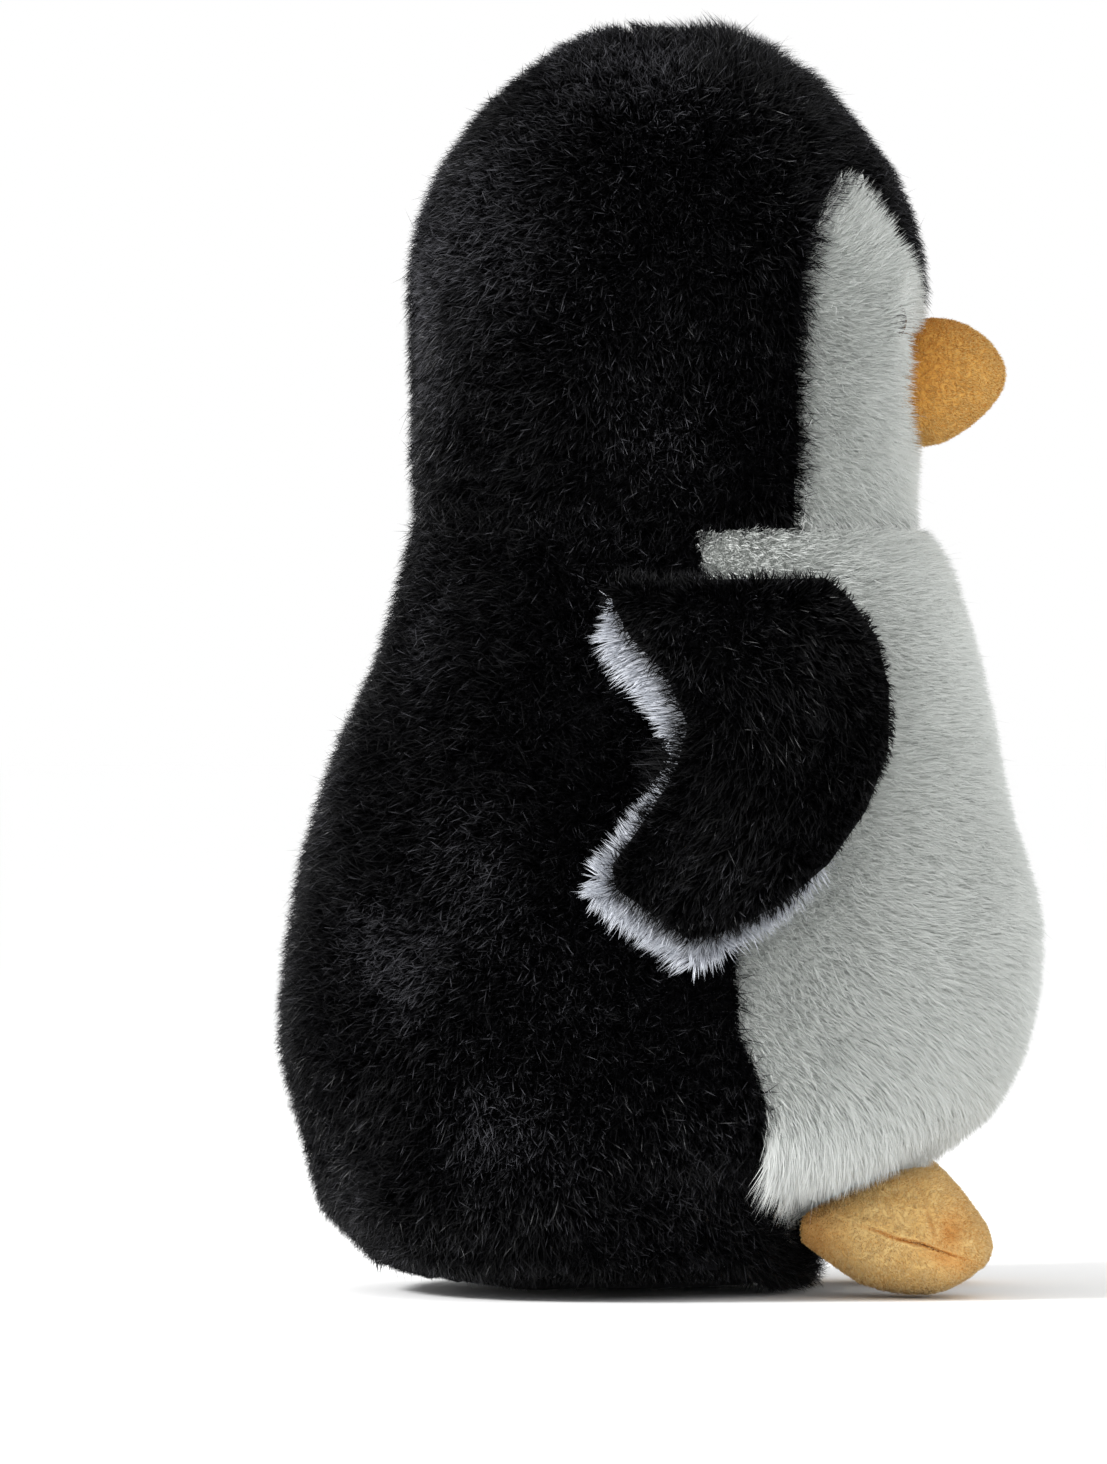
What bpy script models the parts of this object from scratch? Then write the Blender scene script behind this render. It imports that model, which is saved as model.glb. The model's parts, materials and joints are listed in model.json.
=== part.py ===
"""Standing plush penguin: sewn pile panels over stuffing, with safety eyes, a beak, two flippers and two feet.

Lengths in this file are millimetres, and make_mesh turns them into Blender's metres. +Z is up, the penguin
faces -Y, and its left side is at +X. The origin is on the ground, in the middle of the footprint of the whole
toy. Angles round the body start at the front and grow towards the left side: the centre of the back is at 180.
"""

import math

import bmesh
import bpy
import numpy as np

MM = 0.001

# Driving dimensions
HEIGHT = 200.7
NECK_HEIGHT = 120.6
GAP = 0.3  # clearance between pieces that touch
SEAM_GAP = 0.9  # and between two curved panels at their seam
FILL_GAP = 1.0  # and between a curved panel and the stuffing behind it
PILE = 4.5  # a long-pile panel: backing cloth and fur
SHORT_PILE = 1.5  # the velour of the beak and the feet

HEAD_CENTRE_Y = -1.05
HEAD_HALF_DEPTH = 40.95
HEAD_HALF_WIDTH = 45.0
DOME_HEIGHT = 158.0  # where the cheeks end and the dome of the head begins
DOME_POWER = 1.85  # 2 would be an ellipse; less is a little more pointed
DOME_LEAN = 3.5  # how far behind the head's middle the crown seam is

RIM_LOW = 4.7  # height of the base panel's edge round the back
RIM_FRONT = 10.5  # and under the belly
RIM_TURN = (math.radians(36), math.radians(52))  # where round the body it changes from the one to the other
EARLY = math.radians(5)  # the base panel's edge drops this much sooner than the panels over it
RIM_SHARES = (1.0, 0.6, 0.3, 0.12, 0.0)  # the base panel's rows, as shares of its edge's height

BEAK_HEIGHT = 143.0
BEAK_RADII = (12.0, 10.5)  # half width and half height at the root
BEAK_LENGTH = 13.1
BEAK_LIFT = 1.4  # how far the tip is above the middle of the root

EYE_OFFSET = 14.5  # from the centre plane
EYE_HEIGHT = 152.5
EYE_RADIUS = 3.6
EYE_FLANGE = 0.5  # the straight edge behind its dome
EYE_DOME = 2.8
SHANK_RADIUS = 1.3
SHANK_LENGTH = 8.0
WASHER_RADIUS = 4.6
WASHER_THICKNESS = 1.2
RIB_PITCH = 1.1  # of the three ribs on the shank that hold the washer

FLIPPER_PIVOT = (42.5, -9.0, 113.6)
FLIPPER_INNER_PILE = 3.2
FLIPPER_OUTER_PILE = 4.8
FLIPPER_CORE = 3.2  # thickest stuffing

FOOT_OFFSET = 23.0
FOOT_SPLAY = math.radians(8.0)
FOOT_PIVOT = (FOOT_OFFSET, -23.5, 11.0)

# The body's side view and half width, from the ground up: height, front, back, half width
BODY_ROWS = [
    (0.0, -17.5, 32.0, 34.0),
    (2.0, -21.5, 41.0, 41.5),
    (7.0, -22.8, 48.0, 47.5),
    (13.0, -24.0, 53.4, 51.3),
    (18.5, -29.5, 55.2, 53.3),
    (21.5, -38.5, 56.0, 54.2),
    (24.5, -48.0, 56.8, 55.0),
    (30.0, -53.8, 58.6, 56.0),
    (38.0, -57.5, 60.2, 56.5),
    (50.0, -60.3, 60.0, 56.0),
    (62.0, -59.7, 58.1, 54.4),
    (73.0, -57.0, 55.3, 52.4),
    (81.0, -54.4, 52.8, 50.8),
    (89.0, -53.6, 49.8, 49.2),
    (98.0, -51.6, 45.6, 47.2),
    (108.0, -48.0, 42.2, 44.8),
    (116.0, -44.3, 39.8, 42.4),
    (121.0, -41.0, 38.8, 40.6),
]

# Seams in the side view: height and how far back the seam is
SIDE_SEAM = [
    (4.0, -19.5), (11.0, -19.8), (19.0, -17.6), (23.0, -16.4), (28.5, -16.9), (33.0, -16.0), (38.0, -13.6),
    (44.5, -11.4), (52.0, -11.5), (65.0, -11.3), (80.0, -10.5), (100.0, -8.5), (114.0, -6.5), (121.0, -5.0),
]
CHEEK_SEAM = [(120.0, -23.0), (134.0, -23.0), (151.5, -23.2), (162.5, -24.3), (170.4, -26.5), (177.0, -30.5)]

# Half width of the crown gusset at each height: a peak between the eyes, widest above them
GUSSET_PEAK = 157.5
FACE_TOP = 175.0
GUSSET_WIDTHS = [
    (157.5, 1.3), (165.0, 11.5), (171.0, 18.0), (177.0, 23.2), (185.0, 22.5), (193.0, 17.0), (200.0, 9.0),
]

# The pellet pouch from the bottom up: height, and how far it is inside the body's outline
POUCH_ROWS = [(5.2, 13.0), (6.5, 9.5), (10.0, 7.0), (15.0, 6.6), (20.0, 8.5), (23.0, 12.5), (24.0, 17.0)]
POUCH_WIDEST = 15.0  # from this height up it follows the outline at this height

# A flipper in the side view, from shoulder to tip: place along it, leading edge (y, z), trailing edge (y, z)
FLIPPER_ROWS = [
    (0.0, (-25.0, 112.6), (8.0, 112.2)),
    (0.12, (-31.5, 107.0), (8.5, 105.5)),
    (0.3, (-35.3, 97.0), (1.5, 98.0)),
    (0.5, (-35.6, 85.0), (-3.0, 88.5)),
    (0.68, (-30.5, 72.5), (0.0, 80.5)),
    (0.84, (-20.5, 61.8), (5.0, 73.0)),
    (0.95, (-9.5, 56.4), (8.6, 66.8)),
    (1.0, (-3.5, 55.2), (7.6, 63.0)),
]
TRIM = 5.0  # how far the inner face shows past the outer one, along the trailing edge and the tip

# A foot from heel to toe: y, half width, height of the underside, of the seam and of the top
FOOT_ROWS = [
    (-24.6, 4.5, 8.8, 11.0, 12.6),
    (-27.0, 9.0, 5.2, 10.9, 15.2),
    (-31.0, 12.0, 2.2, 10.7, 17.6),
    (-36.0, 13.6, 0.8, 10.2, 19.4),
    (-41.0, 14.2, 0.4, 8.8, 20.3),
    (-45.0, 14.0, 0.8, 7.4, 19.4),
    (-48.5, 12.8, 1.6, 6.6, 14.6),
    (-51.5, 10.4, 3.2, 6.3, 10.2),
    (-53.2, 6.5, 4.9, 6.2, 7.6),
]

COLOURS = {
    "black_pile": ((0.012, 0.012, 0.014, 1.0), 0.8),
    "white_pile": ((0.72, 0.74, 0.72, 1.0), 0.85),
    "orange_velour": ((0.78, 0.40, 0.10, 1.0), 0.9),
    "fibre_fill": ((0.85, 0.85, 0.82, 1.0), 0.95),
    "pouch_cloth": ((0.70, 0.68, 0.62, 1.0), 0.9),
    "black_plastic": ((0.01, 0.01, 0.012, 1.0), 0.15),
    "washer_plastic": ((0.80, 0.80, 0.78, 1.0), 0.5),
}


# Curves and surfaces

def smooth_curve(knots):
    """A smooth function through (x, y, ...) knots; its slope at each is that of the parabola through three."""
    table = np.array(knots, float)
    x, y = table[:, 0], table[:, 1:]
    step = np.diff(x)[:, None]
    rise = np.diff(y, axis=0) / step
    middle = (step[:-1] * rise[1:] + step[1:] * rise[:-1]) / (step[:-1] + step[1:])
    slope = np.vstack([rise[:1], middle, rise[-1:]])

    def value(at):
        at = min(max(at, x[0]), x[-1])
        i = min(int(np.searchsorted(x, at, side="right")) - 1, len(x) - 2)
        h = step[i, 0]
        u = (at - x[i]) / h
        result = (
            (1 + 2 * u) * (1 - u) ** 2 * y[i]
            + u * (1 - u) ** 2 * h * slope[i]
            + u * u * (3 - 2 * u) * y[i + 1]
            + u * u * (u - 1) * h * slope[i + 1]
        )
        return result if len(result) > 1 else float(result[0])

    return value


body_outline = smooth_curve(BODY_ROWS)
side_seam_y = smooth_curve(SIDE_SEAM)
cheek_seam_y = smooth_curve(CHEEK_SEAM)
gusset_width = smooth_curve(GUSSET_WIDTHS)


def body_section(z):
    """Height, front, back and half width of the body at a height."""
    front, back, half = body_outline(z)
    return z, front, back, half


def head_section(t):
    """The same for the head: t runs from -1 at the neck to 0 at the cheeks' top and 1 at the crown."""
    if t < 0:
        tuck = t * t  # the cheeks draw in a little towards the neck
        front = HEAD_CENTRE_Y - HEAD_HALF_DEPTH + 1.2 * tuck
        back = HEAD_CENTRE_Y + HEAD_HALF_DEPTH - 1.2 * tuck
        return DOME_HEIGHT + (DOME_HEIGHT - NECK_HEIGHT) * t, front, back, HEAD_HALF_WIDTH - 4.2 * tuck
    rise = math.sin(t * math.pi / 2) ** (2 / DOME_POWER)
    size = max(math.cos(t * math.pi / 2), 0.0) ** (2 / DOME_POWER)
    centre = HEAD_CENTRE_Y + DOME_LEAN * rise**8
    depth = HEAD_HALF_DEPTH * size
    return DOME_HEIGHT + (HEIGHT - DOME_HEIGHT) * rise, centre - depth, centre + depth, HEAD_HALF_WIDTH * size


def point_on(section, angle, t):
    z, front, back, half = section(t)
    return np.array(
        [half * math.sin(angle), (front + back) / 2 - (back - front) / 2 * math.cos(angle), z]
    )


def normal_on(section, angle, t):
    small = 1e-3
    round_it = point_on(section, angle + small, t) - point_on(section, angle - small, t)
    up_it = point_on(section, angle, t + small) - point_on(section, angle, t - small)
    normal = np.cross(round_it, up_it)
    return normal / np.linalg.norm(normal)


def inside(section, angle, t, depth):
    """The point this deep under a surface."""
    return point_on(section, angle, t) - depth * normal_on(section, angle, t)


def angle_at_y(section, t, y):
    _, front, back, _ = section(t)
    ratio = ((front + back) / 2 - y) / ((back - front) / 2)
    return math.acos(min(max(ratio, -1.0), 1.0))


def step_aside(section, angle, t, distance):
    """The angle that is a distance further round the surface."""
    small = 1e-3
    span = point_on(section, angle + small, t) - point_on(section, angle - small, t)
    return angle + distance / max(np.linalg.norm(span) / (2 * small), 0.4)


# Mesh building

def make_material(name):
    colour, roughness = COLOURS[name]
    material = bpy.data.materials.new(name)
    material.use_nodes = True
    shader = material.node_tree.nodes["Principled BSDF"]
    shader.inputs["Base Color"].default_value = colour
    shader.inputs["Roughness"].default_value = roughness
    shader.inputs["Metallic"].default_value = 0.0
    return material


def make_mesh(name, points, faces, material, pivot=None):
    """A named object; pivot is the empty on the axis that a moving piece turns about."""
    origin = np.array(pivot.location) if pivot else np.zeros(3)
    mesh = bpy.data.meshes.new(name)
    mesh.from_pydata([tuple(np.array(p) * MM - origin) for p in points], [], faces)
    body = bmesh.new()
    body.from_mesh(mesh)
    bmesh.ops.recalc_face_normals(body, faces=body.faces)
    body.to_mesh(mesh)
    body.free()
    mesh.shade_smooth()
    mesh.set_sharp_from_angle(angle=math.radians(50))
    mesh.materials.append(make_material(material))
    obj = bpy.data.objects.new(name, mesh)
    bpy.context.scene.collection.objects.link(obj)
    obj.parent = pivot
    return obj


def slab(name, outer, inner, material, pivot=None):
    """A closed sheet between two grids of points with the same rows and columns."""
    rows, columns = len(outer), len(outer[0])
    points = [p for grid in (outer, inner) for row in grid for p in row]

    def index(side, i, j):
        return side * rows * columns + i * columns + j

    faces = []
    for i in range(rows - 1):
        for j in range(columns - 1):
            corners = [(i, j), (i, j + 1), (i + 1, j + 1), (i + 1, j)]
            faces.append([index(0, *c) for c in corners])
            faces.append([index(1, *c) for c in reversed(corners)])
    border = [(0, j) for j in range(columns)]
    border += [(i, columns - 1) for i in range(1, rows)]
    border += [(rows - 1, j) for j in range(columns - 2, -1, -1)]
    border += [(i, 0) for i in range(rows - 2, 0, -1)]
    for here, after in zip(border, border[1:] + border[:1]):
        faces.append([index(0, *after), index(0, *here), index(1, *here), index(1, *after)])
    return make_mesh(name, points, faces, material, pivot)


def stack(name, rings, material, pivot=None):
    """A closed solid through rings of points, capped at both ends."""
    count = len(rings[0])
    points = [p for ring in rings for p in ring]
    faces = [[k * count + j for j in range(count)] for k in (0, len(rings) - 1)]
    faces[0].reverse()
    for k in range(len(rings) - 1):
        for j in range(count):
            after = (j + 1) % count
            faces.append([k * count + j, k * count + after, (k + 1) * count + after, (k + 1) * count + j])
    return make_mesh(name, points, faces, material, pivot)


def mirrored(grid):
    return [[np.array([-p[0], p[1], p[2]]) for p in row] for row in grid]


def on_both_sides(build, name, outer, inner, material, pivots=(None, None)):
    """The left piece as given, and the right one as its mirror image."""
    left = build(f"{name}_left", outer, inner, material, pivots[0])
    right = build(f"{name}_right", mirrored(outer), mirrored(inner), material, pivots[1])
    return left, right


def panel_grids(section, rows, first, last, columns, row_at=None):
    """The outer and inner grids of a pile panel between two seams, half the seam gap inside each."""
    outer, inner = [], []
    for t in rows:
        a = step_aside(section, first(t), t, SEAM_GAP / 2)
        b = step_aside(section, last(t), t, -SEAM_GAP / 2)
        angles = np.linspace(a, b, columns)
        levels = [row_at(angle, t) if row_at else t for angle in angles]
        outer.append([point_on(section, angle, level) for angle, level in zip(angles, levels)])
        inner.append([inside(section, angle, level, PILE) for angle, level in zip(angles, levels)])
    return outer, inner


# Head

HEAD_ROWS = [-0.985, -0.8, -0.6, -0.4, -0.2, 0.06, 0.14, 0.21, 0.29, 0.46, 0.55, 0.64, 0.73, 0.81]
CROWN_ROWS = [0.87, 0.91, 0.94, 0.965, 0.985]


def head_t(height):
    """The head's row parameter at a height on its dome."""
    above = height - DOME_HEIGHT
    if above <= 0:
        return above / (DOME_HEIGHT - NECK_HEIGHT)
    return math.asin((above / (HEIGHT - DOME_HEIGHT)) ** (DOME_POWER / 2)) * 2 / math.pi


def gusset_edge(t):
    """Angle of the seam beside the crown gusset, which ends at the crown seam, across the top of the head."""
    z, _, _, half = head_section(t)
    return math.asin(min(gusset_width(z) / max(half, 0.1), 1.0))


def cheek_edge(t):
    return angle_at_y(head_section, t, cheek_seam_y(head_section(t)[0]))


def build_head():
    peak, top = head_t(GUSSET_PEAK), head_t(FACE_TOP)
    join = head_t(CHEEK_SEAM[-1][0])
    cuts = sorted(HEAD_ROWS + [peak, top, join])

    def face_front(t):
        return gusset_edge(t) if t >= peak else 0.0

    def side_front(t):
        return cheek_edge(t) if t < join - 1e-6 else gusset_edge(t)

    def centre_back(t):
        return math.pi

    face_rows = [t for t in cuts if t <= top]
    outer, inner = panel_grids(head_section, face_rows, face_front, cheek_edge, 7)
    faces = on_both_sides(slab, "face_patch", outer, inner, "white_pile")

    side_rows = cuts + CROWN_ROWS
    outer, inner = panel_grids(head_section, side_rows, side_front, centre_back, 11)
    on_both_sides(slab, "head_side", outer, inner, "black_pile")

    gusset_rows = [t for t in cuts if t >= peak] + CROWN_ROWS
    outer, inner = panel_grids(head_section, gusset_rows, lambda t: -gusset_edge(t), gusset_edge, 11)
    slab("crown_gusset", outer, inner, "black_pile")

    levels = cuts + CROWN_ROWS[:2]
    turns = np.linspace(0, 2 * math.pi, 22, endpoint=False)
    rings = [[inside(head_section, a, t, PILE + FILL_GAP) for a in turns] for t in levels]
    stuffing = stack("head_stuffing", rings, "fibre_fill")
    for side, face in zip((1, -1), faces):
        build_eye(side, face, stuffing)


def turned(name, profile, centre, direction, material, closed=False, segments=14):
    """A solid turned about an axis; profile is (height along the axis, radius), closed where it has a hole."""
    direction = np.array(direction) / np.linalg.norm(direction)
    across = np.cross(direction, (0.0, 0.0, 1.0))
    across /= np.linalg.norm(across)
    upward = np.cross(across, direction)
    rings = []
    turns = np.linspace(0, 2 * math.pi, segments, endpoint=False)
    spokes = [math.cos(a) * across + math.sin(a) * upward for a in turns]
    for height, radius in profile:
        rings.append([centre + height * direction + radius * spoke for spoke in spokes])
    if not closed:
        return stack(name, rings, material)
    points = [p for ring in rings for p in ring]
    faces = []
    for k in range(len(rings)):
        below, above = k * segments, (k + 1) % len(rings) * segments
        for j in range(segments):
            after = (j + 1) % segments
            faces.append([below + j, below + after, above + after, above + j])
    return make_mesh(name, points, faces, material)


def cut(obj, cutter):
    """obj keeps a Boolean cut, and the cutter is left as a hidden guide."""
    cutter.hide_render = True
    cutter.display_type = "WIRE"
    boolean = obj.modifiers.new("cut", "BOOLEAN")
    boolean.operation = "DIFFERENCE"
    boolean.solver = "EXACT"
    boolean.object = cutter


def build_eye(side, face, stuffing):
    """A safety eye in its hole in the face patch, its shank in the stuffing and its washer behind the patch."""
    name = "left" if side > 0 else "right"
    t = head_t(EYE_HEIGHT)
    angle = side * math.asin(EYE_OFFSET / head_section(t)[3])
    centre = point_on(head_section, angle, t)
    out = normal_on(head_section, angle, t)
    back = -PILE  # the back of the face patch, along the eye's axis
    shank_end = back - SHANK_LENGTH
    profile = [(shank_end, SHANK_RADIUS * 0.6), (shank_end + 0.8, SHANK_RADIUS)]
    for k in range(3):
        rib = shank_end + SHANK_LENGTH / 2 + k * RIB_PITCH
        profile += [(rib, SHANK_RADIUS), (rib + 0.2, SHANK_RADIUS * 0.8), (rib + 0.8, SHANK_RADIUS * 0.8)]
    profile += [(back, SHANK_RADIUS), (back, EYE_RADIUS)]
    for a in np.radians([0, 20, 40, 58, 74, 86]):
        profile.append((back + EYE_FLANGE + EYE_DOME * math.sin(a), EYE_RADIUS * math.cos(a)))
    turned(f"eye_{name}", profile, centre, out, "black_plastic")

    washer_back = back - 2 * GAP - WASHER_THICKNESS
    bore = SHANK_RADIUS + 0.15
    washer = [
        (washer_back, bore), (washer_back, WASHER_RADIUS - 0.3), (washer_back + 0.3, WASHER_RADIUS),
        (washer_back + WASHER_THICKNESS, WASHER_RADIUS), (washer_back + WASHER_THICKNESS, bore),
    ]
    turned(f"eye_washer_{name}", washer, centre, out, "washer_plastic", closed=True)

    well = [(back - 0.9 * GAP, EYE_RADIUS + GAP), (3.0, EYE_RADIUS + GAP)]
    cut(face, turned(f"guide_eye_well_{name}", well, centre, out, "black_plastic", segments=14))
    pocket = [
        (back - SHANK_LENGTH - 0.6, SHANK_RADIUS + 0.5), (washer_back - 0.5, SHANK_RADIUS + 0.5),
        (washer_back - 0.5, WASHER_RADIUS + 0.5), (3.0, WASHER_RADIUS + 0.5),
    ]
    cut(stuffing, turned(f"guide_washer_pocket_{name}", pocket, centre, out, "black_plastic", segments=14))


def beak_ring(u, inset, angles):
    """Points round the beak: u is 0 at the root and 1 at the tip; angle 0 is the top and 90 degrees the left."""
    size = (1 - u**1.75) ** 0.65
    half_width = max(BEAK_RADII[0] * size - inset, 0.15)
    half_height = max(BEAK_RADII[1] * size - inset, 0.15)
    middle = BEAK_HEIGHT + BEAK_LIFT * math.sin(u * math.pi / 2)
    ring = []
    for a in angles:
        x, z = half_width * math.sin(a), middle + half_height * math.cos(a)
        t = head_t(z)
        root = point_on(head_section, math.asin(x / head_section(t)[3]), t)[1] - GAP
        ring.append(np.array([x, root * (1 - u) + (HEAD_CENTRE_Y - HEAD_HALF_DEPTH - BEAK_LENGTH) * u, z]))
    return ring


def build_beak():
    """Two halves seamed on the centre plane, over their stuffing."""
    stations = [0.0, 0.18, 0.36, 0.52, 0.66, 0.78, 0.88, 0.95, 0.985]
    outer, inner = [], []
    for u in stations:
        seam = 0.5 * GAP / (BEAK_RADII[0] * (1 - u**1.75) ** 0.65)
        angles = np.linspace(seam, math.pi - seam, 9)
        outer.append(beak_ring(u, 0.0, angles))
        inner.append(beak_ring(u * 0.88, SHORT_PILE, angles))
    on_both_sides(slab, "beak", outer, inner, "orange_velour")
    round_it = np.linspace(0, 2 * math.pi, 16, endpoint=False)
    fill = [beak_ring(u * 0.84, SHORT_PILE + GAP + 0.2, -round_it) for u in stations]
    stack("beak_stuffing", fill, "fibre_fill")


# Body

BODY_LEVELS = [
    5.3, 8.0, 11.0, 13.5, 15.5, 17.5, 19.5, 21.5, 24.0, 28.0, 34.0, 42.0, 52.0, 63.0, 75.0, 87.0, 99.0, 110.0,
]


def rim_height(angle, early=0.0):
    """The base panel's edge, higher under the belly than round the back."""
    start, end = RIM_TURN
    past = (abs(math.remainder(angle, 2 * math.pi)) + early - start) / (end - start)
    blend = min(max(past, 0.0), 1.0)
    return RIM_FRONT + (RIM_LOW - RIM_FRONT) * blend * blend * (3 - 2 * blend)


def above_rim(angle, level):
    """A panel's row, lifted to stay over the base panel's edge; rows from 20 up are level."""
    lift = rim_height(angle) - RIM_LOW
    return level + lift * max(0.0, 1 - (level - BODY_LEVELS[0]) / (20.0 - BODY_LEVELS[0]))


def side_seam(z):
    return angle_at_y(body_section, z, side_seam_y(z))


def build_body():
    levels = BODY_LEVELS + [NECK_HEIGHT - GAP]
    outer, inner = panel_grids(body_section, levels, lambda z: -side_seam(z), side_seam, 15, above_rim)
    slab("belly_panel", outer, inner, "white_pile")
    outer, inner = panel_grids(body_section, levels, side_seam, lambda z: math.pi, 10, above_rim)
    on_both_sides(slab, "back_panel", outer, inner, "black_pile")
    build_base()

    turns = np.linspace(0, 2 * math.pi, 24, endpoint=False)
    fill_levels = [z for z in levels if z > 27.0]
    rings = [[inside(body_section, a, z, PILE + FILL_GAP) for a in turns] for z in fill_levels]
    rings = [[np.array([p[0], p[1], max(p[2], 26.5)]) for p in ring] for ring in rings]
    stack("body_stuffing", rings, "fibre_fill")

    rings = []
    for z, inset in POUCH_ROWS:
        _, front, back, half = body_section(min(z, POUCH_WIDEST))
        middle, depth = (front + back) / 2, (back - front) / 2
        rings.append(
            [np.array([(half - inset) * math.sin(a), middle - (depth - inset) * math.cos(a), z]) for a in turns]
        )
    stack("pellet_pouch", rings, "pouch_cloth")


def build_base():
    """A shallow dish: its flat underside is what the toy stands on."""
    turns = np.linspace(0, 2 * math.pi, 40, endpoint=False)
    outside = []
    for share in RIM_SHARES:
        outside.append([point_on(body_section, a, share * rim_height(a, EARLY)) for a in turns])
    rim_inside = []
    floor_inside = []
    for a, edge in zip(turns, outside[0]):
        below = point_on(body_section, a, RIM_LOW)
        inward = np.array([-math.sin(a), math.cos(a), 0.0]) * PILE
        rim_inside.append(edge + inward)
        floor_inside.append(np.array([below[0], below[1], PILE - 0.2]) + 1.2 * inward)
    stack("base_panel", [floor_inside, rim_inside] + outside, "black_pile")


# Flippers

def body_side_x(y, z):
    """How far out the side of the body is at a point of the side view."""
    _, front, back, half = body_section(z)
    off = (y - (front + back) / 2) / ((back - front) / 2)
    return half * math.sqrt(max(1 - off * off, 0.05))


def flipper_grid(trim, depth_at, stations, columns, margin):
    """Points over a flipper, depth_at(lens) away from the body; lens is 0 at the rim and 1 in the middle."""
    edges = smooth_curve([(s, *lead, *trail) for s, lead, trail in FLIPPER_ROWS])
    grid = []
    for s in stations:
        lead_y, lead_z, trail_y, trail_z = edges(s)
        grow = trim * min(1.0, s * 5) * np.array([0.9, -0.45])
        lead = np.array([lead_y, lead_z]) + trim * max(0.0, s - 0.6) * np.array([0.2, -2.6])
        trail = np.array([trail_y, trail_z]) + grow
        row = []
        for v in np.linspace(margin, 1 - margin, columns):
            y, z = lead * (1 - v) + trail * v
            across = math.sin(math.pi * (0.06 + 0.88 * v))
            along = min(1.0, math.sqrt(max(0.0, 1.04 - s) * 3.5)) * min(1.0, 0.45 + s * 4)
            row.append(np.array([body_side_x(y, z) + 0.8 + depth_at(across**0.6 * along), y, z]))
        grid.append(row)
    return grid


def build_flippers():
    pivots = make_pivots("flipper", FLIPPER_PIVOT)
    stations = [0.0, 0.08, 0.2, 0.34, 0.5, 0.64, 0.76, 0.86, 0.94, 1.0]
    seam = FLIPPER_INNER_PILE + FLIPPER_CORE / 2

    def inner_face(lens):
        return FLIPPER_INNER_PILE * (1 - lens)

    def inner_back(lens):
        return seam - GAP / 2 - (FLIPPER_CORE / 2) * lens

    def outer_back(lens):
        return seam + GAP / 2 + (FLIPPER_CORE / 2) * lens

    def outer_face(lens):
        return outer_back(lens) + 1.0 + (FLIPPER_OUTER_PILE - 1.0) * lens

    def grids(trim, near, far, margin=0.0):
        return [flipper_grid(trim, face, stations, 7, margin) for face in (far, near)]

    outer, inner = grids(TRIM, inner_face, inner_back)
    on_both_sides(slab, "flipper_inner", outer, inner, "white_pile", pivots)
    outer, inner = grids(0.0, outer_back, outer_face)
    on_both_sides(slab, "flipper_outer", outer, inner, "black_pile", pivots)

    def fill_near(lens):
        return inner_back(lens) + GAP if lens > 0.5 else seam - 0.05

    def fill_far(lens):
        return outer_back(lens) - GAP if lens > 0.5 else seam + 0.05

    fill = [flipper_grid(0.0, face, stations[1:-2], 7, 0.16) for face in (fill_far, fill_near)]
    on_both_sides(slab, "flipper_stuffing", *fill, "fibre_fill", pivots)


def make_pivots(name, place):
    """Empties on the axes of the left and the right moving piece."""
    pivots = []
    for side, sign in (("left", 1), ("right", -1)):
        pivot = bpy.data.objects.new(f"{name}_{side}_pivot", None)
        pivot.empty_display_size = 0.01
        pivot.location = (sign * place[0] * MM, place[1] * MM, place[2] * MM)
        bpy.context.scene.collection.objects.link(pivot)
        pivots.append(pivot)
    return pivots


# Feet

def foot_point(row, angle, inset):
    """A point round a section of the foot: angle 0 is its outer side, 90 degrees the top, 270 the underside."""
    y, half, bottom, seam, top = row
    height = (top - seam if math.sin(angle) >= 0 else seam - bottom) - inset
    x = max(half - inset, 0.3) * math.cos(angle)
    middle = (FOOT_ROWS[0][0] + FOOT_ROWS[-1][0]) / 2
    length = (FOOT_ROWS[0][0] - FOOT_ROWS[-1][0]) / 2
    y = middle + (y - middle) * (1 - inset / length)
    z = seam + max(height, 0.3) * math.sin(angle)
    pivot_y = FOOT_PIVOT[1]
    return np.array(
        [
            FOOT_OFFSET + x * math.cos(FOOT_SPLAY) - (y - pivot_y) * math.sin(FOOT_SPLAY),
            pivot_y + (y - pivot_y) * math.cos(FOOT_SPLAY) + x * math.sin(FOOT_SPLAY),
            z,
        ]
    )


def build_feet():
    pivots = make_pivots("foot", FOOT_PIVOT)
    profile = smooth_curve(FOOT_ROWS[::-1])
    ys = np.linspace(FOOT_ROWS[0][0], FOOT_ROWS[-1][0], 10)
    rows = [(y, *profile(y)) for y in ys]

    def half_grid(start, end, shift, inset):
        angles = np.linspace(math.radians(start), math.radians(end), 7)
        lift = np.array([0.0, 0.0, shift])
        return [[foot_point(row, a, inset) + lift for a in angles] for row in rows]

    for name, start, end, shift in (("foot_upper", 0, 180, GAP / 2), ("foot_sole", 180, 360, -GAP / 2)):
        outer, inner = half_grid(start, end, shift, 0.0), half_grid(start, end, shift, SHORT_PILE)
        on_both_sides(slab, name, outer, inner, "orange_velour", pivots)

    turns = np.linspace(0, 2 * math.pi, 16, endpoint=False)
    rings = [[foot_point(row, a, SHORT_PILE + 2 * GAP) for a in turns] for row in rows]
    stack("foot_stuffing_left", rings, "fibre_fill", pivots[0])
    stack("foot_stuffing_right", mirrored(rings), "fibre_fill", pivots[1])


def main():
    for obj in list(bpy.data.objects):
        bpy.data.objects.remove(obj, do_unlink=True)
    build_body()
    build_head()
    build_beak()
    build_flippers()
    build_feet()
    bpy.context.view_layer.update()


main()
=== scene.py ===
"""The looks of a standing plush penguin: pile on the panels, velour on beak and feet, and glossy eyes.

The pile is geometry: tapered blades rooted on a thin cloth that takes each CAD panel's place, reaching
out to where the CAD panel's outer face is. Lengths are metres; MM makes small ones readable.
"""

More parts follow.
